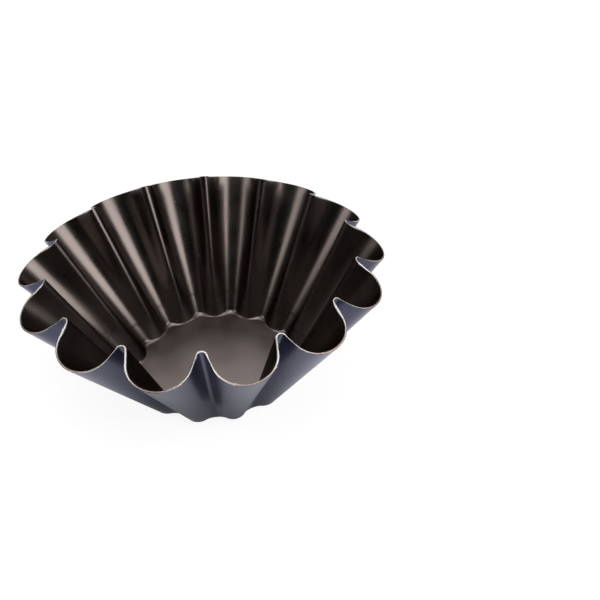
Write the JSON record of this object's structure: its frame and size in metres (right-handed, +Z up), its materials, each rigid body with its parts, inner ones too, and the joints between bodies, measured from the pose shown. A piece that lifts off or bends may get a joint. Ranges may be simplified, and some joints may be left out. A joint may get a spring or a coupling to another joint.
{
  "type": "brioche mould",
  "caption": "Round fluted baking mould that flares from a small flat base to a wide scalloped rim, pressed from thin steel with a dark non-stick lining and a blue lacquer coat outside.",
  "frame": {"origin": "middle of the underside, on the surface that the mould stands on", "axes": "+Z up along the axis of the mould, towards the open rim; +X through the middle of a lobe"},
  "size_m": [0.14, 0.1372, 0.059],
  "materials": {
    "steel": "bare cut edge",
    "lining": "satin non-stick",
    "coat": "semi-gloss lacquer"
  },
  "bodies": {
    "root": {"steel_shell": "steel", "nonstick_lining": "lining", "outer_coat": "coat"}
  },
  "joints": []
}
